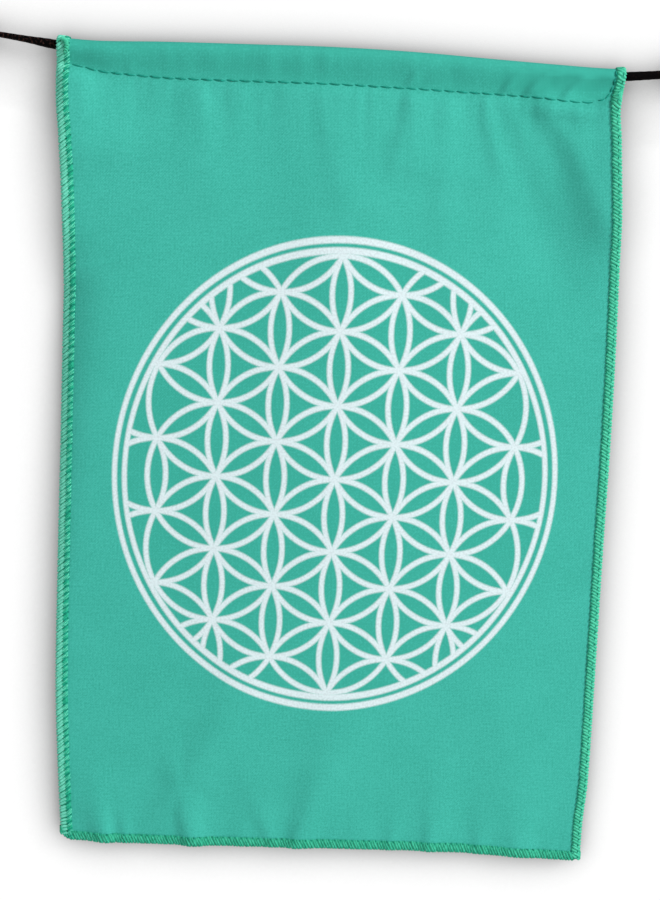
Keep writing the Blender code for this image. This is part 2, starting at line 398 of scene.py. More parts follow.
# Flag: one cut of plain-weave polycotton, printed on the front, whose top is turned to the back and sewn
# down as a casing round the cord. It hangs with a soft belly, a drape at top right and fluted at the foot.
CLOTH_THICKNESS = 0.00034
LAYER_SPACING = 0.0009
WRAP_RADIUS = 0.00225
FLAP_LENGTH = 0.0045
FLAG_FOOT = -0.252
SEAM_LINE = (
    (-0.0820, -0.0026), (-0.0760, -0.0030), (-0.0680, -0.0048), (-0.0600, -0.0057), (-0.0450, -0.0069),
    (0.0, -0.0085), (0.0380, -0.0107), (0.0620, -0.0124), (0.0780, -0.0140), (0.0825, -0.0132),
    (0.0890, -0.0108),
)
LEFT_EDGE = (
    (-0.2500, -0.0870), (-0.2000, -0.0872), (-0.1600, -0.0856), (-0.1200, -0.0837), (-0.0850, -0.0822),
    (-0.0600, -0.0812), (-0.0250, -0.0813), (-0.0120, -0.0819), (0.0060, -0.0812),
)
RIGHT_EDGE = (
    (-0.2570, 0.0808), (-0.2420, 0.0814), (-0.2280, 0.0827), (-0.1880, 0.0841), (-0.1490, 0.0854),
    (-0.1100, 0.0869), (-0.0600, 0.0879), (-0.0250, 0.0871), (-0.0145, 0.0866), (-0.0080, 0.0882),
    (0.0060, 0.0883),
)
FOOT_EDGE = (
    (-0.0880, -0.2480), (-0.0610, -0.2494), (-0.0030, -0.2509), (0.0360, -0.2522), (0.0600, -0.2540),
    (0.0750, -0.2552), (0.0840, -0.2555),
)
# Folds, each a soft ridge that opens out along its crest: crest x, z from its tight end on; half-widths to
# the left and right at its open end; height at both ends. A positive height stands towards the viewer.
FOLDS = (
    (((0.0647, -0.0134), (0.0684, -0.0195), (0.0748, -0.0280), (0.0794, -0.0370), (0.0835, -0.0470)),
     (0.0088, 0.0700), (0.0012, 0.0034)),
    (((0.0500, -0.0160), (0.0600, -0.0420), (0.0700, -0.0660)), (0.0110, 0.0070), (-0.0005, -0.0007)),
    (((0.0980, -0.0700), (0.0980, -0.0120)), (0.0240, 0.0240), (0.0003, 0.0024)),
    (((0.0233, -0.0095), (0.0230, -0.0195), (0.0208, -0.0310)), (0.0036, 0.0280), (0.0009, 0.0008)),
    (((0.0460, -0.0120), (0.0478, -0.0205), (0.0515, -0.0315)), (0.0036, 0.0240), (0.0009, 0.0009)),
    (((-0.0043, -0.0120), (0.0000, -0.0250), (0.0040, -0.0400)), (0.0045, 0.0080), (0.0002, 0.0004)),
    (((-0.0390, -0.0100), (-0.0370, -0.0400)), (0.0120, 0.0090), (0.0007, 0.0004)),
    (((-0.0790, -0.0040), (-0.0790, -0.0260)), (0.0050, 0.0200), (0.0024, 0.0020)),
    (((-0.0900, -0.1750), (-0.0890, -0.0720)), (0.0120, 0.0120), (-0.0010, -0.0058)),
    (((-0.0690, -0.0625), (-0.0800, -0.0650)), (0.0030, 0.0030), (0.0001, 0.0007)),
    (((0.0340, -0.0480), (0.0350, -0.0660)), (0.0110, 0.0160), (0.0003, 0.0005)),
    (((-0.0725, -0.2460), (-0.0760, -0.2280)), (0.0100, 0.0060), (0.0014, 0.0005)),
    (((-0.0663, -0.2460), (-0.0672, -0.2330)), (0.0035, 0.0050), (0.0005, 0.0001)),
    (((-0.0450, -0.2470), (-0.0480, -0.2300), (-0.0360, -0.2140), (-0.0300, -0.1960)),
     (0.0090, 0.0140), (0.0015, 0.0007)),
    (((-0.0198, -0.2470), (-0.0265, -0.2260)), (0.0045, 0.0080), (0.0006, 0.0002)),
    (((-0.0103, -0.2480), (-0.0050, -0.2310), (0.0015, -0.2110)), (0.0080, 0.0120), (0.0013, 0.0006)),
    (((0.0196, -0.2480), (0.0216, -0.2370)), (0.0040, 0.0060), (0.0005, 0.0001)),
    (((0.0319, -0.2485), (0.0345, -0.2240)), (0.0060, 0.0090), (0.0008, 0.0003)),
    (((0.0478, -0.2490), (0.0495, -0.2340)), (0.0045, 0.0080), (0.0005, 0.0001)),
    (((0.0600, -0.2500), (0.0600, -0.2140)), (0.0140, 0.0160), (0.0008, 0.0006)),
    (((0.0040, -0.0600), (0.0000, -0.2000)), (0.0600, 0.0600), (0.0012, 0.0012)),
)
# Share of a fold's half-widths left at its tight end
FOLD_START = 0.35
# How far a fold fades beyond its ends, as a share of its smaller half-width
FOLD_FADE = 1.3
# Small tucks in the casing's front, in the same form
TUCKS = (
    (((0.0232, -0.0085), (0.0300, -0.0010)), (0.0018, 0.0030), (0.0006, 0.0002)),
    (((0.0516, -0.0109), (0.0583, -0.0027)), (0.0018, 0.0030), (0.0008, 0.0004)),
    (((0.0586, -0.0114), (0.0668, -0.0040)), (0.0020, 0.0030), (0.0010, 0.0005)),
    (((0.0700, -0.0120), (0.0770, -0.0060)), (0.0020, 0.0030), (0.0010, 0.0005)),
    (((-0.0600, -0.0040), (-0.0580, 0.0020)), (0.0020, 0.0030), (0.0004, 0.0001)),
)
BELLY = 0.0026
SEAM_FADE = 0.003
# Uneven swellings of the cloth, all in metres: below the seam, above the foot, over the whole panel and
# round the casing. STITCH_SWELL is the small wave that the stitches draw into the panel.
SEAM_PUCKER, FOOT_PUCKER, PANEL_SWELL, CASING_PUCKER = 0.00055, 0.00040, 0.00016, 0.00034
STITCH_SWELL, STITCH_RISE = 0.00016, 0.00026
# At its right end the casing hugs the cord and its seam stands out: where that starts, and how far
HUG_START, HUG_RUN, SEAM_LIFT, SEAM_LIFT_RUN = 0.0565, 0.0100, 0.0021, 0.0040
CORNER_CUT = (0.0029, 0.0020)
STITCH_PITCH = 0.00383
COLUMNS = 156
# Parts of an upright line of cloth, from the foot: rows of mesh in each
PANEL_ROWS, RISE_ROWS, WRAP_ROWS, FALL_ROWS, FLAP_ROWS = 150, 12, 14, 10, 6


def smooth_step(share):
    share = min(max(share, 0.0), 1.0)
    return share * share * (3.0 - 2.0 * share)


@functools.lru_cache(maxsize=None)
def column_x(column, z):
    """A column is a share of the flag's width and an inset from there, both kept from top to foot."""
    share, inset = column
    return (1 - share) * value_at(LEFT_EDGE, z) + share * value_at(RIGHT_EDGE, z) + inset


@functools.lru_cache(maxsize=None)
def column_levels(column):
    """Heights at which a column meets the foot of the flag, the casing seam and the cord."""
    top_x, foot_x = column_x(column, 0.0), column_x(column, FLAG_FOOT)
    cut = CORNER_CUT[1] * max(0.0, 1 - (foot_x - value_at(LEFT_EDGE, FLAG_FOOT)) / CORNER_CUT[0])
    return value_at(FOOT_EDGE, foot_x) + cut, value_at(SEAM_LINE, top_x), value_at(CORD_ROUTE, top_x)


def fold_height(folds, x, z):
    """How far the folds lift the cloth towards the viewer at a place."""
    lift = 0.0
    for crest, widths, heights in folds:
        spans = []
        for number, ((x0, z0), (x1, z1)) in enumerate(zip(crest, crest[1:])):
            run_x, run_z, from_x, from_z = x1 - x0, z1 - z0, x - x0, z - z0
            length = math.hypot(run_x, run_z)
            share = (from_x * run_x + from_z * run_z) / length ** 2
            beyond = (share - min(max(share, 0.0), 1.0)) * length
            across = (from_x * run_z - from_z * run_x) / length
            share = min(max(share, 0.0), 1.0)
            opened = (number + share) / (len(crest) - 1)
            width = widths[0 if across * run_z < 0 else 1] * (FOLD_START + (1 - FOLD_START) * opened)
            spans.append(((across / width) ** 2 + (beyond / (FOLD_FADE * min(widths))) ** 2, opened))
        off, opened = min(spans)
        lift += (heights[0] + (heights[1] - heights[0]) * opened) * math.exp(-off)
    return lift


def hug(x):
    return smooth_step((x - HUG_START) / HUG_RUN)


def relief(x, z, foot_z, seam_z):
    """All that lifts the panel off its flat hang: belly, folds, and the puckers along seam and foot."""
    below = seam_z - z
    down = below / (seam_z - foot_z)
    lift = BELLY * math.sin(math.pi * min(1.0, max(0.0, down)) ** 0.8)
    lift += fold_height(FOLDS, x, z) * smooth_step(below / SEAM_FADE)
    lift += SEAM_LIFT * hug(x) * math.exp(-(below / SEAM_LIFT_RUN) ** 2)
    gather = noise.noise(Vector((x * 130.0, 3.1, 0.0))) + 0.6 * noise.noise(Vector((x * 340.0, 7.7, 0.0)))
    lift += SEAM_PUCKER * gather * math.exp(-below / 0.011) * smooth_step(below / 0.004)
    stitch = math.sin(2 * math.pi * x / STITCH_PITCH)
    lift += (STITCH_SWELL * stitch + STITCH_RISE) * math.exp(-below / 0.0022) * smooth_step(below / 0.0012)
    above_foot = z - foot_z
    flute = noise.noise(Vector((x * 95.0, 11.3, 0.0))) + 0.5 * noise.noise(Vector((x * 260.0, 5.2, 0.0)))
    lift += FOOT_PUCKER * flute * math.exp(-above_foot / 0.009)
    lift += PANEL_SWELL * noise.noise(Vector((x * 55.0, 1.7, z * 42.0)))
    return lift


def flag_point(column, along, foot=0.0):
    """A point of the cloth.

    along runs 0 to 1 up the panel, to 2 up the casing's front, to 3 over the cord, to 4 down the casing's
    back and to 5 down its flap.
    """
    foot_z, seam_z, cord_z = column_levels(column)
    foot_z += foot
    near, hugged = LAYER_SPACING / 2, hug(column_x(column, seam_z))
    if along <= 1:
        y, z = -near, foot_z + (seam_z - foot_z) * along
    elif along <= 2 or 3 < along <= 4:
        rise = along - 1 if along <= 2 else 4 - along
        front = -1 if along <= 2 else 1
        spread = (1 - hugged) * smooth_step(rise) + hugged * rise ** 2
        y = front * (near + (WRAP_RADIUS - near) * spread) - SEAM_LIFT * hugged * (1 - rise) ** 4
        z = seam_z + (cord_z - seam_z) * rise
    elif along <= 3:
        turn = math.pi * (along - 2)
        y, z = -WRAP_RADIUS * math.cos(turn), cord_z + WRAP_RADIUS * math.sin(turn)
    else:
        y, z = near, seam_z - FLAP_LENGTH * (along - 4)
    x = column_x(column, round(z, 6))
    if along <= 1 or along > 4:
        return Vector((x, y - relief(x, z, foot_z - foot, seam_z), z))
    middle = math.sin(math.pi * min(1.0, abs(along - 2.5) / 1.5))
    pucker = noise.noise(Vector((x * 160.0, 2.3 + z * 25.0, along * 0.4)))
    pucker += 0.5 * noise.noise(Vector((x * 420.0, 9.1, along * 0.5)))
    y += (-1 if along < 2.5 else 1) * CASING_PUCKER * middle * pucker
    if along < 2:
        y -= fold_height(TUCKS, x, z) * smooth_step((z - seam_z) / 0.002)
    return Vector((x, y, z))


def cut_height(column, along):
    """Height on the flat cut of cloth: that of the panel, and measured on from there round the casing."""
    foot_z, seam_z, cord_z = column_levels(column)
    rise, wrap = cord_z - seam_z, math.pi * WRAP_RADIUS
    steps = ((1, seam_z - foot_z), (2, rise), (3, wrap), (4, rise), (5, FLAP_LENGTH))
    return foot_z + sum(length * min(max(along - end + 1, 0.0), 1.0) for end, length in steps)


def cloth_sheet(name, columns, alongs, foot, thickness, materials):
    """A sheet through the flag's points at every column and place along, given its thickness.

    The map "cut" holds each point's place on the flat cut of cloth, in metres. The map "layers" holds how
    far the cloth lies doubled, from 0 to 1.
    """
    shape = bmesh.new()
    across, up = len(columns) - 1, len(alongs) - 1
    bmesh.ops.create_grid(shape, x_segments=across, y_segments=up, size=0.5)
    cut = shape.loops.layers.uv.new("cut")
    layers = shape.loops.layers.uv.new("layers")
    for face in shape.faces:
        for loop in face.loops:
            column = columns[round((loop.vert.co.x + 0.5) * across)]
            along = alongs[round((loop.vert.co.y + 0.5) * up)]
            level = cut_height(column, along)
            loop[cut].uv = (column_x(column, round(min(level, 0.005), 6)), level)
            loop[layers].uv = (smooth_step((along - 0.985) / 0.03), 0.0)
    for corner in shape.verts:
        column = columns[round((corner.co.x + 0.5) * across)]
        along = alongs[round((corner.co.y + 0.5) * up)]
        corner.co = flag_point(column, along, foot)
    mesh = bpy.data.meshes.new(name)
    shape.to_mesh(mesh)
    shape.free()
    for material in materials:
        mesh.materials.append(material)
    mesh.shade_smooth()
    sheet = bpy.data.objects.new(name, mesh)
    bpy.context.scene.collection.objects.link(sheet)
    thicken = sheet.modifiers.new("thickness", "SOLIDIFY")
    thicken.thickness, thicken.offset, thicken.use_even_offset = thickness, 0.0, True
    thicken.material_offset = len(materials) - 1
    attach(sheet, "root")
    return sheet


# Print: white screen ink in rings and overlapping circles. Circles of one radius stand on a grid of
# triangles, each through its neighbours' centres, and two rings close the pattern.
PRINT_MIDDLE = (0.0014, -0.1290)
PRINT_ACROSS = 0.02122
PRINT_UP = 0.02315
PRINT_LEAN = 0.0372
PRINT_DROOP = 0.0275
FARTHEST_CIRCLE = math.sqrt(13) + 0.01
# Half-widths of the printed lines and rings, in circle radii
LINE_HALF_WIDTH = 0.0378
RING_RADII = (3.065, 3.210)
RING_HALF_WIDTH, RING_EXTRA = 0.0360, 0.0100
INK_EDGE = 0.019
INK_RAGGED = 0.018
CLOTH_COLOUR = (0.0530, 0.4360, 0.3540, 1.0)
CLOTH_SHADE = (0.0340, 0.3540, 0.2760, 1.0)
CLOTH_BACK = (0.0600, 0.4200, 0.3450, 1.0)
# How much darker the cloth is painted: where it lies doubled round the casing, as painted shade; inside the
# rings; and over the cord at the casing's right end, where the dark cord shows through and the hollow under
# it is painted shade
DOUBLED_PAINTED_SHADE = 0.45
INSIDE_DARKER = 0.40
CORD_BAND_LEVEL, CORD_BAND_DARKER = -0.0070, 0.95
INK_COLOUR = (0.635, 0.745, 0.765, 1.0)
INK_WORN = (0.540, 0.630, 0.650, 1.0)
THREAD_PITCH = 0.00042
CREASE_LEVEL, CREASE_RISE, CREASE_HALF_WIDTH, CREASE_HEIGHT = -0.0481, 0.213, 0.0006, 2.2


def quarter_circles():
    """Centres whose circles reach the pattern's upper right quarter, which its mirror images repeat."""
    centres = []
    for column in range(-1, 5):
        for step in range(-1, 4):
            row = step + 0.5 * (column % 2)
            centre = (column * math.sqrt(3) / 2, row)
            if math.hypot(*centre) <= FARTHEST_CIRCLE and (column < 4 or row == 0):
                centres.append((column, row, centre))
    return centres


def ink_mask(cut):
    """Share of ink on the cloth at a place on the flat cut, and whether the place is inside the rings."""
    split = cut.node("ShaderNodeSeparateXYZ", {}, {0: cut})
    dx = split - PRINT_MIDDLE[0]
    dz = Socket(split.socket.node.outputs["Y"]) - PRINT_MIDDLE[1]
    x = abs((dx - dz * PRINT_LEAN) / PRINT_ACROSS)
    y = abs((dz + dx * PRINT_DROOP) / PRINT_UP)
    place = cut.node("ShaderNodeCombineXYZ", {}, {0: x, 1: y})
    nearest = 1.0
    for column, row, centre in quarter_circles():
        ends = {0: place, 1: (*centre, 0.0)}
        off = abs(place.node("ShaderNodeVectorMath", {"operation": "DISTANCE"}, ends, 1) - 1.0)
        if column == 4:
            off = off + (y > 0.5)
        if row == 3:
            off = off + (y > 2.5)
        nearest = off.sum("MINIMUM", off, nearest)
    radius = place.node("ShaderNodeVectorMath", {"operation": "LENGTH"}, {0: place}, 1)
    ragged = cut.node("ShaderNodeTexNoise", {}, {"Vector": cut, "Scale": 3200.0, "Detail": 1.0}) - 0.5
    nearest = nearest + (radius > RING_RADII[0]) + ragged * INK_RAGGED
    ink = nearest.ramp(LINE_HALF_WIDTH + INK_EDGE, LINE_HALF_WIDTH - INK_EDGE)
    inside = radius.ramp(RING_RADII[1], RING_RADII[1] - 0.1)
    steepness = y / (radius + 0.001)
    half_width = RING_HALF_WIDTH + RING_EXTRA * steepness * steepness
    for ring in RING_RADII:
        off = abs(radius - ring) + ragged * INK_RAGGED
        ink = ink.sum("MAXIMUM", ink, (off - half_width).ramp(INK_EDGE, -INK_EDGE))
    return ink, inside


def weave_height(cut):
    """Plain weave: at each crossing either the upright or the level thread lies on top."""
    split = cut.node("ShaderNodeSeparateXYZ", {}, {0: cut})
    across = split * (math.pi / THREAD_PITCH)
    up = Socket(split.socket.node.outputs["Y"]) * (math.pi / THREAD_PITCH)
    wave_across, wave_up = across.sum("SINE", across), up.sum("SINE", up)
    on_top = (wave_across * wave_up) > 0.0
    return on_top * abs(wave_across) + (1 - on_top) * abs(wave_up)


def crease_mask(cut):
    """The faint fold left by packing, which runs up to the right from the flag's left side."""
    split = cut.node("ShaderNodeSeparateXYZ", {}, {0: cut})
    off = Socket(split.socket.node.outputs["Y"]) - split * CREASE_RISE - CREASE_LEVEL
    steep = off.ramp(-CREASE_HALF_WIDTH, CREASE_HALF_WIDTH)
    ends = split.ramp(-0.082, -0.074) * split.ramp(0.030, 0.010)
    return steep * (1 - (off > 0.0) * off.ramp(0.0, 6 * CREASE_HALF_WIDTH)) * ends


def cord_through_and_shade_mask(cut):
    """Where the casing hugs the dark cord at its right end: the cord shows through the thin cloth a little,
    and the sag below it is painted shade.
    """
    split = cut.node("ShaderNodeSeparateXYZ", {}, {0: cut})
    off = abs(Socket(split.socket.node.outputs["Y"]) - CORD_BAND_LEVEL)
    return off.ramp(0.0042, 0.0008) * split.ramp(0.044, 0.064)


def stretched_noise(cut, across, up, detail=2.0):
    """Noise whose spots are drawn out along one thread direction: spots per metre across and up."""
    scaled = cut.node("ShaderNodeVectorMath", {"operation": "MULTIPLY"}, {0: cut, 1: (across, up, 1.0)})
    return cut.node("ShaderNodeTexNoise", {}, {"Vector": scaled, "Scale": 1.0, "Detail": detail})


def cloth_finish(name, printed):
    material, shader = finish(name, Roughness=0.88, Specular_IOR_Level=0.18)
    cut = start_nodes(shader, "ShaderNodeUVMap", "UV", {"uv_map": "cut"})
    level_slubs = stretched_noise(cut, 170.0, 2100.0)
    upright_slubs = stretched_noise(cut, 2100.0, 170.0)
    cloud = stretched_noise(cut, 60.0, 60.0, 3.0)
    grain = stretched_noise(cut, 1500.0, 1500.0, 1.0)
    streaks = 0.20 * level_slubs + 0.18 * upright_slubs + 0.14 * cloud + 0.48 * grain
    weave = weave_height(cut)
    ink, inside = ink_mask(cut)
    layers = start_nodes(shader, "ShaderNodeUVMap", "UV", {"uv_map": "layers"})
    doubled = layers.node("ShaderNodeSeparateXYZ", {}, {0: layers})
    # Painted shade: the doubled cloth round the casing and the band over the cord are painted darker; the
    # cloth inside the rings is darker as well
    darker = doubled * DOUBLED_PAINTED_SHADE + inside * INSIDE_DARKER + CORD_BAND_DARKER * cord_through_and_shade_mask(cut)
    tone = streaks.ramp(0.33, 0.67) - darker
    ground = tone.colour_to(CLOTH_SHADE, CLOTH_COLOUR)
    if printed:
        worn = stretched_noise(cut, 1500.0, 1500.0, 2.0).ramp(0.34, 0.60) * 0.75 + weave * 0.25
        ink_layer = worn.colour_to(INK_WORN, INK_COLOUR)
        colour = ink.colour_to(ground, ink_layer)
        height = weave * (1 - 0.55 * ink) + 0.5 * ink + 0.6 * grain + CREASE_HEIGHT * crease_mask(cut)
    else:
        pale = streaks.ramp(0.34, 0.66).colour_to(CLOTH_COLOUR, CLOTH_BACK)
        colour = (ink * 0.22).colour_to(pale, INK_WORN)
        height = weave + 0.6 * grain
    bump = cut.node("ShaderNodeBump", {}, {"Strength": 0.55, "Distance": 0.00007, "Height": height})
    feed(shader, Base_Color=colour, Normal=bump)
    return material


def part_alongs(first, rows):
    return [first + i / rows for i in range(rows)]


CLOTH_UNDER_THREAD = 0.0010
flag_columns = tuple(
    (i / COLUMNS, CLOTH_UNDER_THREAD * (1 - 2 * i / COLUMNS)) for i in range(COLUMNS + 1)
)
flag_alongs = (
    part_alongs(0, PANEL_ROWS) + part_alongs(1, RISE_ROWS) + part_alongs(2, WRAP_ROWS)
    + part_alongs(3, FALL_ROWS) + part_alongs(4, FLAP_ROWS) + [5.0]
)
flag = cloth_sheet(
    "printed_flag", flag_columns, flag_alongs, CLOTH_UNDER_THREAD, CLOTH_THICKNESS,
    [cloth_finish("flag front", True), cloth_finish("flag back", False)],
)
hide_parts("flag_cloth")

# Casing seam: a lockstitch in dark green thread, just under four millimetres a stitch, that holds the
# turned-down top to the panel. Each stitch dips into the cloth at both ends. The last few climb beside the
# right serging.
SEAM_THREAD = 0.00029
SEAM_COLOUR = (0.004, 0.250, 0.185, 1.0)
SEAM_SHADE = (0.002, 0.160, 0.112, 1.0)
SEAM_RUN = (0.0046, 0.1616)
SEAM_CURL = (
    (0.0797, -0.0138), (0.0820, -0.0130), (0.0836, -0.0112), (0.0846, -0.0085), (0.0851, -0.0050),
)
CURL_LENGTH, CURL_PITCH, CURL_SHARE = 0.0112, 0.0024, 0.80
STITCH_SHARE, STITCH_TILT = 0.88, 0.00030


def thread_finish(name, light, dark):
    """Spun thread: its colour wanders a little and its fibres show as fine ridges."""
    material, shader = finish(name, Roughness=0.75, Specular_IOR_Level=0.2)
    place = start_nodes(shader, "ShaderNodeTexCoord", "Object")
    blotch = place.node("ShaderNodeTexNoise", {}, {"Vector": place, "Scale": 900.0, "Detail": 2.0})
    fibres = place.node("ShaderNodeTexNoise", {}, {"Vector": place, "Scale": 9000.0, "Detail": 2.0})
    colour = (0.6 * blotch + 0.4 * fibres).ramp(0.38, 0.60).colour_to(dark, light)
    bump = place.node("ShaderNodeBump", {}, {"Strength": 0.5, "Distance": 0.00004, "Height": fibres})
    feed(shader, Base_Color=colour, Normal=bump)
    return material


def thread_lines(name, lines, radius, material):
    """Many threads in one piece, each a round line through its points."""
    data = bpy.data.curves.new(name, "CURVE")
    data.dimensions = "3D"
    data.bevel_depth, data.bevel_resolution, data.use_fill_caps = radius, 1, True
    for points in lines:
        spline = data.splines.new("POLY")
        spline.points.add(len(points) - 1)
        for target, point in zip(spline.points, points):
            target.co = (*point, 1.0)
    data.materials.append(material)
    piece = bpy.data.objects.new(name, data)
    bpy.context.scene.collection.objects.link(piece)
    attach(piece, "root")
    return piece


def stitches(surface, start, end, pitch, share, outward, tilt):
    """Stitches along a line of cloth.

    surface(run) is a point on the line, outward is 1 on the back and -1 on the front, share is the part of
    the pitch that shows, and tilt is how far a stitch falls along its length.
    """
    lines = []
    for number in range(round((end - start) / pitch)):
        points = []
        for i in range(9):
            step = i / 8
            point = surface(start + (number + 0.5 + share * (step - 0.5)) * pitch)
            arch = math.sin(math.pi * step)
            point.y += outward * (CLOTH_THICKNESS / 2 + SEAM_THREAD * (1.2 * arch - 0.8))
            point.z += tilt * (0.5 - step)
            points.append(point)
        lines.append(points)
    return lines


def seam_place(along):
    width = RIGHT_EDGE[-1][1] - LEFT_EDGE[-1][1]
    return lambda run: flag_point((run / width, 0.0), along)


def curl_place(run):
    """A point on the casing's front, along the climbing end of the seam."""
    lengths = lengths_along([Vector((x, 0.0, z)) for x, z in SEAM_CURL])
    spot = next((i for i in range(len(lengths) - 2) if run <= lengths[i + 1]), len(lengths) - 2)
    share = min((run - lengths[spot]) / (lengths[spot + 1] - lengths[spot]), 1.0)
    (x0, z0), (x1, z1) = SEAM_CURL[spot], SEAM_CURL[spot + 1]
    x, z = x0 + (x1 - x0) * share, z0 + (z1 - z0) * share
    left, right = value_at(LEFT_EDGE, z), value_at(RIGHT_EDGE, z)
    column = ((x - left) / (right - left), 0.0)
    _, seam_z, cord_z = column_levels(column)
    return flag_point(column, 1 + max(0.0, (z - seam_z) / (cord_z - seam_z)))


seam_finish = thread_finish("seam thread", SEAM_COLOUR, SEAM_SHADE)
front_stitches = stitches(seam_place(1.0), *SEAM_RUN, STITCH_PITCH, STITCH_SHARE, -1, STITCH_TILT)
front_stitches += stitches(curl_place, 0.0, CURL_LENGTH, CURL_PITCH, CURL_SHARE, -1, 0.0)
back_stitches = stitches(seam_place(4.0), *SEAM_RUN, STITCH_PITCH, STITCH_SHARE, 1, -STITCH_TILT)
thread_lines("casing_stitches_front", front_stitches, SEAM_THREAD, seam_finish)
thread_lines("casing_stitches_back", back_stitches, SEAM_THREAD, seam_finish)

# Serging: three overlock threads wound round the cut edge, from foot to flap and along the foot. Pairs of
# slanted loops lie over a bed of thread, and rows of short dark needle stitches lie on top of them. The
# thread is painted lighter or darker on each edge as painted light and shade, and the bed and the dark
# stitches are darkened as painted shade of the gaps and needle holes between the loops.
WINDING_POINTS = 14
LOOP_REACH_WANDER, LOOP_RUN_WANDER, LOOP_HEIGHTS = 0.00014, 0.00008, (0.80, 1.15)
LOOP_FLATNESS = 0.6
DIP_WANDER, DIP_SUNK = 0.00012, 0.35
PROBE = 0.0004
BED_THICKNESS, BED_FROM_EDGE, BED_FROM_INNER = 0.0010, 0.0008, 0.0004
# Loop colours by edge, the two ends of the thread's random tone. One thread is painted lighter or darker on
# each edge, as painted light and shade: palest on the left bead, whose inner stretches are painted dark as
# painted shade.
THREAD_COLOURS = {
    "left": ((0.165, 0.660, 0.490, 1.0), (0.105, 0.540, 0.385, 1.0)),
    "right": ((0.072, 0.515, 0.330, 1.0), (0.034, 0.395, 0.240, 1.0)),
    "bottom": ((0.038, 0.405, 0.254, 1.0), (0.016, 0.298, 0.178, 1.0)),
}
INNER_SHADE_COLOURS = {"left": ((0.016, 0.370, 0.222, 1.0), (0.005, 0.270, 0.156, 1.0))}
INNER_SHARE, INNER_THICKER = 0.52, 0.00002
# The bed is a real thread layer, painted a little darker as painted shade in the gaps between the loops
BED_COLOUR = (0.030, 0.390, 0.240, 1.0)
BED_SHADE = (0.014, 0.300, 0.180, 1.0)
# Dark needle-thread colour, darkened further as painted shade of the needle holes and of the gaps between
# loops
DIP_COLOUR = (0.003, 0.280, 0.180, 1.0)
DIP_SHADE = (0.001, 0.180, 0.115, 1.0)
# Each edge: width, pitch, slant across the width, half-thickness, thread radius, pairing of loops
SERGING = {
    "left": (0.0042, 0.001075, 0.0028, 0.00036, 0.00050, 0.00006),
    "right": (0.0033, 0.00103, 0.0016, 0.00024, 0.00047, 0.00005),
    "bottom": (0.0036, 0.00094, -0.0022, 0.00034, 0.00043, 0.00008),
}
# Rows of short dark stitches: inset, length across the edge, length along it, thickness. Their dark colour
# is partly the needle thread and partly painted shade of needle holes and of gaps between loops.
DIPS = {
    "left": ((0.00340, 0.00130, 0.00095, 0.00031),),
    "right": ((0.00290, -0.00020, 0.00060, 0.00021), (0.00110, -0.00020, 0.00060, 0.00014)),
    "bottom": ((0.00325, -0.00040, 0.00035, 0.00022), (0.00080, -0.00020, 0.00030, 0.00016)),
}


@functools.lru_cache(maxsize=None)
def side_lengths(share):
    """Places up one side's outline, over the cord and down the flap, with the length up to each."""
    alongs = [i * 5 / 500 for i in range(501)]
    return alongs, lengths_along([flag_point((share, 0.0), along) for along in alongs])


def side_point(share, run, inset):
    """A point on a side of the flag: run along its outline and inset from it."""
    alongs, lengths = side_lengths(share)
    run = min(max(run, 0.0), lengths[-1])
    spot = min(bisect.bisect_right(lengths, run), len(lengths) - 1) - 1
    step = (run - lengths[spot]) / max(lengths[spot + 1] - lengths[spot], 1e-9)
    along = alongs[spot] + (alongs[spot + 1] - alongs[spot]) * step
    column = (share, inset if share == 0 else -inset)
    if along < 1:
        edge_foot, edge_seam, _ = column_levels((share, 0.0))
        foot_z, seam_z, _ = column_levels(column)
        level = (edge_foot + (edge_seam - edge_foot) * along - foot_z) / (seam_z - foot_z)
        along += (min(level, 1.0) - along) * min(1.0, 12 * along)
    return flag_point(column, along)


def foot_point(run, inset):
    """A point above the foot of the flag: run along it and inset upwards."""
    column = (max(run, 0.0003) / (RIGHT_EDGE[0][1] - LEFT_EDGE[0][1]), 0.0)
    foot_z, seam_z, _ = column_levels(column)
    return flag_point(column, inset / (seam_z - foot_z))


def edge_place(edge, run, inset, lift):
    """A point at a run along an edge and an inset from it, lifted off the cloth on its outer face."""
    share = 0.0 if edge == "left" else 1.0
    spot, ahead, inward = (
        foot_point(run + a, inset + b) if edge == "bottom" else side_point(share, run + a, inset + b)
        for a, b in ((0, 0), (PROBE, 0), (0, PROBE))
    )
    facing = (ahead - spot).cross(inward - spot).normalized()
    return spot + facing * (-lift if edge == "left" else lift)


def loop_height(edge, inset):
    """How far the top of a loop stands off the cloth at an inset from the edge."""
    width, _, _, half_thickness, radius, _ = SERGING[edge]
    share = min(max((inset - radius) / (width - 2 * radius), 0.0), 1.0)
    return half_thickness * (2 * math.sqrt(share * (1 - share))) ** LOOP_FLATNESS + radius


def winding(edge, start, end):
    """The looper threads' path round the cloth's edge, as one flattened, slanted coil.

    Also returns its stretches on the bead's inner side.
    """
    width, pitch, slant, half_thickness, radius, pairing = SERGING[edge]
    wander = random.Random(edge)
    points, inner = [], []
    for turn in range(int((end - start) / pitch)):
        inner.append([])
        reach = width - 2 * radius + wander.uniform(-LOOP_REACH_WANDER, LOOP_REACH_WANDER)
        height = half_thickness * wander.uniform(*LOOP_HEIGHTS)
        shift = wander.uniform(-LOOP_RUN_WANDER, LOOP_RUN_WANDER) + (pairing if turn % 2 else -pairing)
        for i in range(WINDING_POINTS):
            phase = 2 * math.pi * i / WINDING_POINTS
            share = 0.5 - 0.5 * math.cos(phase)
            inset = radius + reach * share
            lift = height * math.copysign(abs(math.sin(phase)) ** LOOP_FLATNESS, math.sin(phase))
            run = start + (turn + i / WINDING_POINTS) * pitch + slant * inset / width + shift
            points.append(edge_place(edge, run, inset, lift))
            if share > INNER_SHARE:
                inner[-1].append(points[-1])
    return points, inner


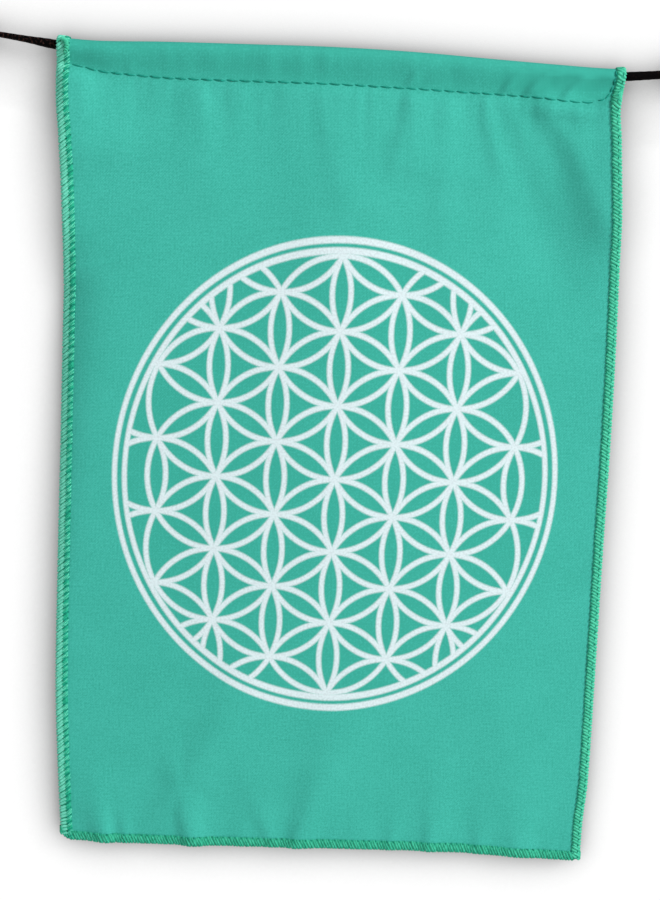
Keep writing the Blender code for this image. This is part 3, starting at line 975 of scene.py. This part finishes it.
def dip_row(edge, row, start, end):
    """Short stitches, one for each pair of loops, that lie on top of the loops, dark as painted shade of
    holes and gaps.
    """
    inset, across, length, radius = row
    pitch = 2 * SERGING[edge][1]
    wander = random.Random(f"{edge} {inset}")
    lines = []
    for number in range(int((end - start) / pitch)):
        middle = start + (number + 0.5) * pitch + wander.uniform(-DIP_WANDER, DIP_WANDER)
        line = []
        for i in range(5):
            share = i / 4 - 0.5
            spot = inset + share * across
            top = loop_height(edge, spot) - DIP_SUNK * radius
            line.append(edge_place(edge, middle + share * length, spot, top))
        lines.append(line)
    return lines


def bed_insets(edge):
    width = SERGING[edge][0]
    return BED_FROM_EDGE, width / 2, width - BED_FROM_INNER


def add_serging(edge, start, end, bed_columns, bed_alongs):
    radius = SERGING[edge][4]
    loop_finish = thread_finish(f"serging thread {edge}", *THREAD_COLOURS[edge])
    coil, inner_lines = winding(edge, start, end)
    loops = thread_lines(f"serging_{edge}", [coil], radius, loop_finish)
    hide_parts(f"serged_edge_{edge}")
    rows = [
        thread_lines(f"serging_{edge}_dips_{number}", dip_row(edge, row, start, end), row[3], needle_and_shade_finish)
        for number, row in enumerate(DIPS[edge])
    ]
    # Painted shade: the loops' inner stretches are drawn again, a little thicker, in darker thread
    if edge in INNER_SHADE_COLOURS:
        inner_shade_finish = thread_finish(f"serging thread {edge} inside", *INNER_SHADE_COLOURS[edge])
        thickness = radius + INNER_THICKER
        rows.append(thread_lines(f"serging_{edge}_inside", inner_lines, thickness, inner_shade_finish))
    bed = cloth_sheet(f"serging_bed_{edge}", bed_columns, bed_alongs, 0.0, BED_THICKNESS, [bed_finish])
    return [loops, *rows, bed]


bed_finish = thread_finish("serging bed", BED_COLOUR, BED_SHADE)
needle_and_shade_finish = thread_finish("serging needle thread and painted shade", DIP_COLOUR, DIP_SHADE)
PANEL_HEIGHT = 0.2420
side_alongs = (
    [0.0080] + part_alongs(0, 120)[1:] + part_alongs(1, 8) + part_alongs(2, 12) + part_alongs(3, 8)
    + [4.0, 4.5, 4.98]
)
serging = []
for edge, share in (("left", 0.0), ("right", 1.0)):
    columns = tuple(sorted((share, inset if share == 0 else -inset) for inset in bed_insets(edge)))
    top = side_lengths(share)[1][-1]
    serging += add_serging(edge, 0.0004, top - 0.0035, columns, side_alongs)
foot_columns = tuple((i / 120, 0.0) for i in range(2, 121))
foot_alongs = [inset / PANEL_HEIGHT for inset in bed_insets("bottom")]
foot_width = RIGHT_EDGE[0][1] - LEFT_EDGE[0][1]
serging += add_serging("bottom", 0.0009, foot_width - 0.0010, foot_columns, foot_alongs)

# Thread tail: the left serging's loose end, twisted and tucked over the top of the casing
TAIL_PATH = ((-0.0806, -0.0024, 0.0044), (-0.0794, -0.0028, 0.0050), (-0.0784, -0.0031, 0.0044),
             (-0.0780, -0.0032, 0.0028), (-0.0784, -0.0031, 0.0008))
TAIL_STRANDS, TAIL_STEPS, TAIL_TWIST_STEPS = 3, 12, 14
TAIL_TWIST_RADIUS, TAIL_STRAND_RADIUS = 0.00042, 0.00034
tail_strands = []
for lag in range(TAIL_STRANDS):
    points = []
    for i in range(TAIL_STEPS * (len(TAIL_PATH) - 1) + 1):
        spot = min(i // TAIL_STEPS, len(TAIL_PATH) - 2)
        centre = Vector(TAIL_PATH[spot]).lerp(Vector(TAIL_PATH[spot + 1]), i / TAIL_STEPS - spot)
        turn = 2 * math.pi * (i / TAIL_TWIST_STEPS + lag / TAIL_STRANDS)
        twist = Vector((math.cos(turn), math.sin(turn), 0.5 * math.cos(turn)))
        points.append(centre + TAIL_TWIST_RADIUS * twist)
    tail_strands.append(points)
tail_finish = thread_finish("serging tail", *THREAD_COLOURS["right"])
serging.append(thread_lines("serging_tail_left", tail_strands, TAIL_STRAND_RADIUS, tail_finish))
